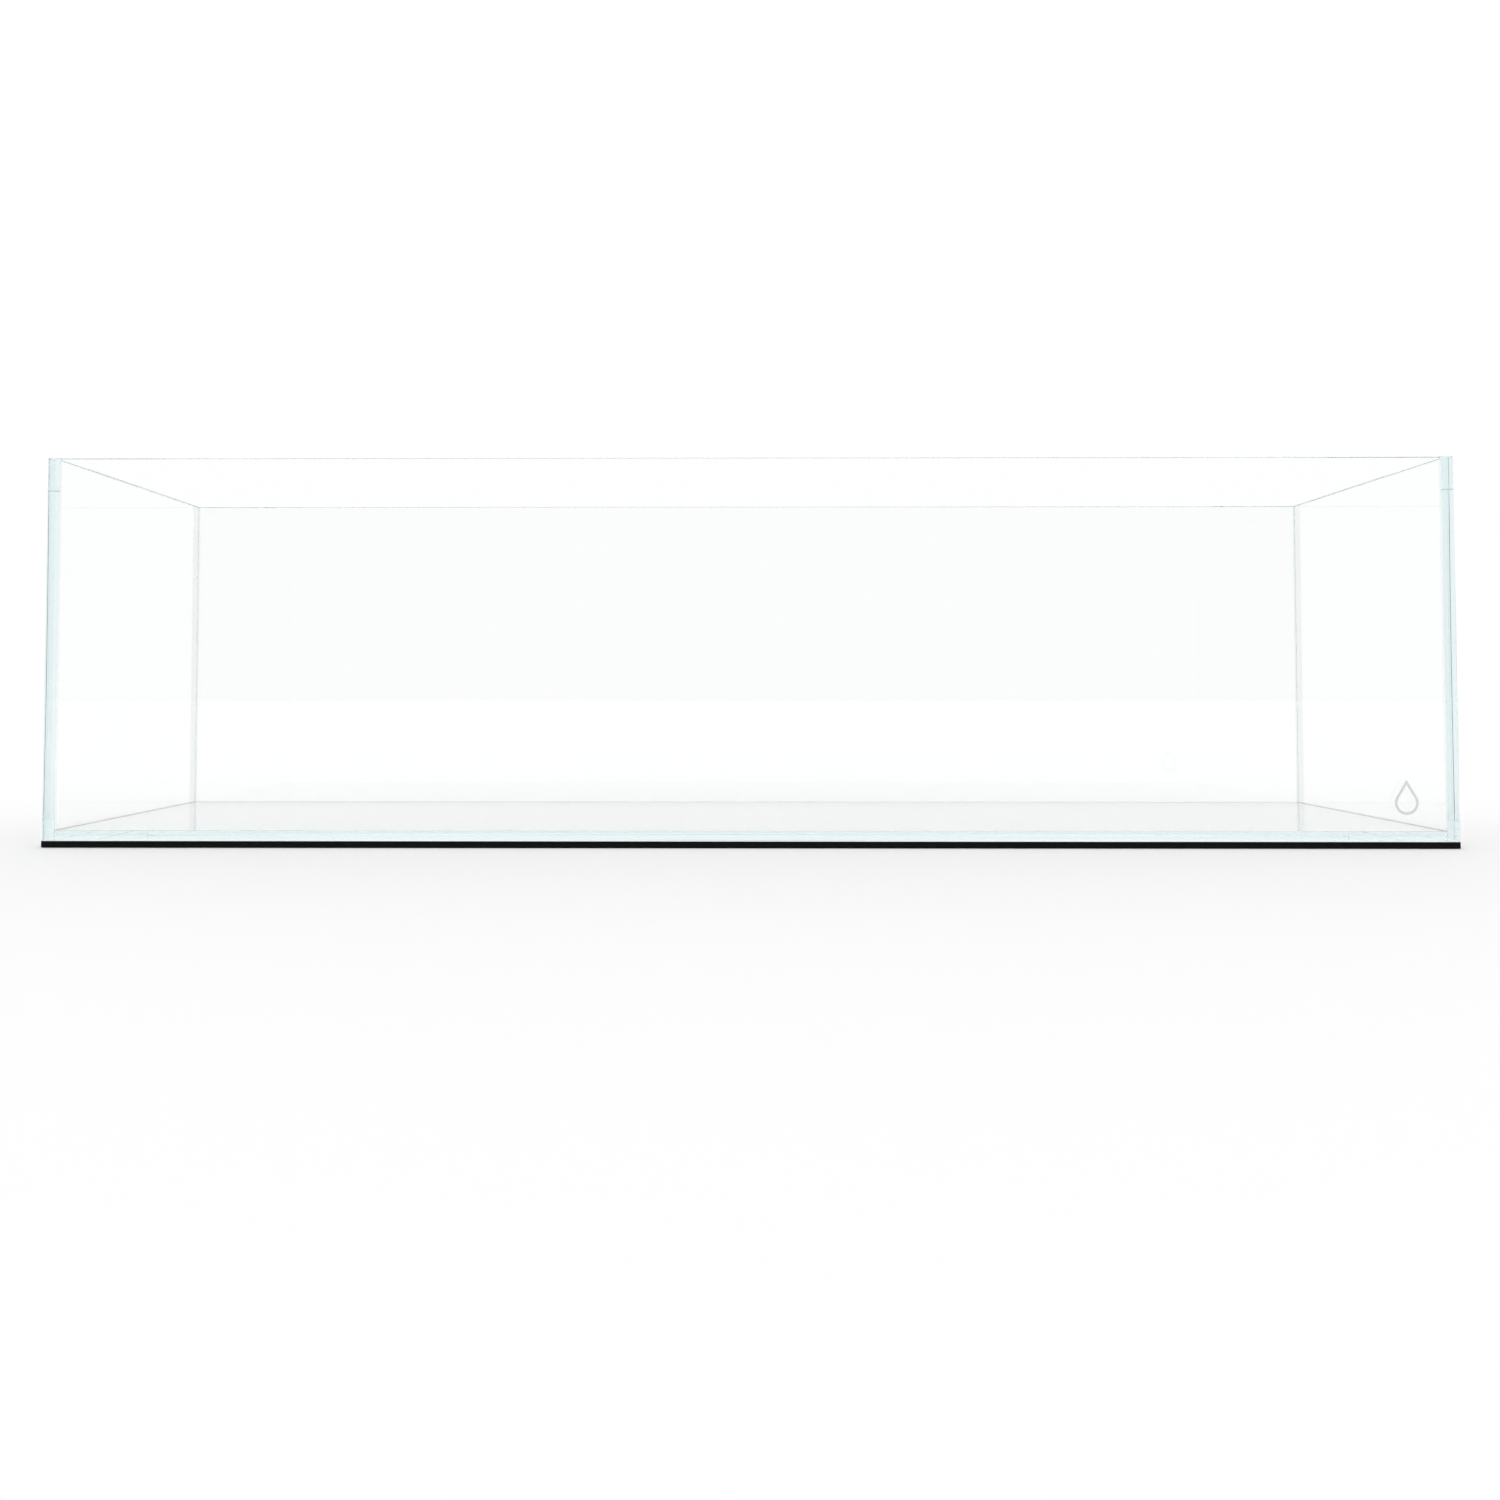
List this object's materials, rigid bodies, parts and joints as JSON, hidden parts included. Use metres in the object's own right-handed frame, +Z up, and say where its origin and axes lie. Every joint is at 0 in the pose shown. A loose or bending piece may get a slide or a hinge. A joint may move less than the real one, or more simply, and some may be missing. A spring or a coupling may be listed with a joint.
{
  "type": "glass aquarium tank",
  "caption": "Long, low, rimless tank of clear glass panes bonded with clear silicone, open at the top, standing on a thin black levelling mat.",
  "frame": {"origin": "centre of the levelling mat's underside, on the surface the tank stands on", "axes": "+Z up, front pane faces -Y, +X to the right of someone looking at the front"},
  "size_m": [0.901, 0.211, 0.2493],
  "materials": {
    "foam_mat": "matte",
    "clear_glass": "polished",
    "clear_silicone": "satin",
    "grey_enamel": "satin"
  },
  "bodies": {
    "mat": {"levelling_mat": "foam_mat"},
    "tank": {"base_panel": "clear_glass", "front_panel": "clear_glass", "right_panel": "clear_glass", "back_panel": "clear_glass", "left_panel": "clear_glass", "corner_seam_front_left": "clear_silicone", "corner_seam_front_right": "clear_silicone", "corner_seam_back_right": "clear_silicone", "corner_seam_back_left": "clear_silicone", "base_seam_front": "clear_silicone", "base_seam_right": "clear_silicone", "base_seam_back": "clear_silicone", "base_seam_left": "clear_silicone", "printed_mark": "grey_enamel"}
  },
  "joints": [
    {"name": "tank_lift", "type": "slide", "parent": "mat", "child": "tank", "axis": [0, 0, 1], "range_m": [0, 0.05]}
  ]
}
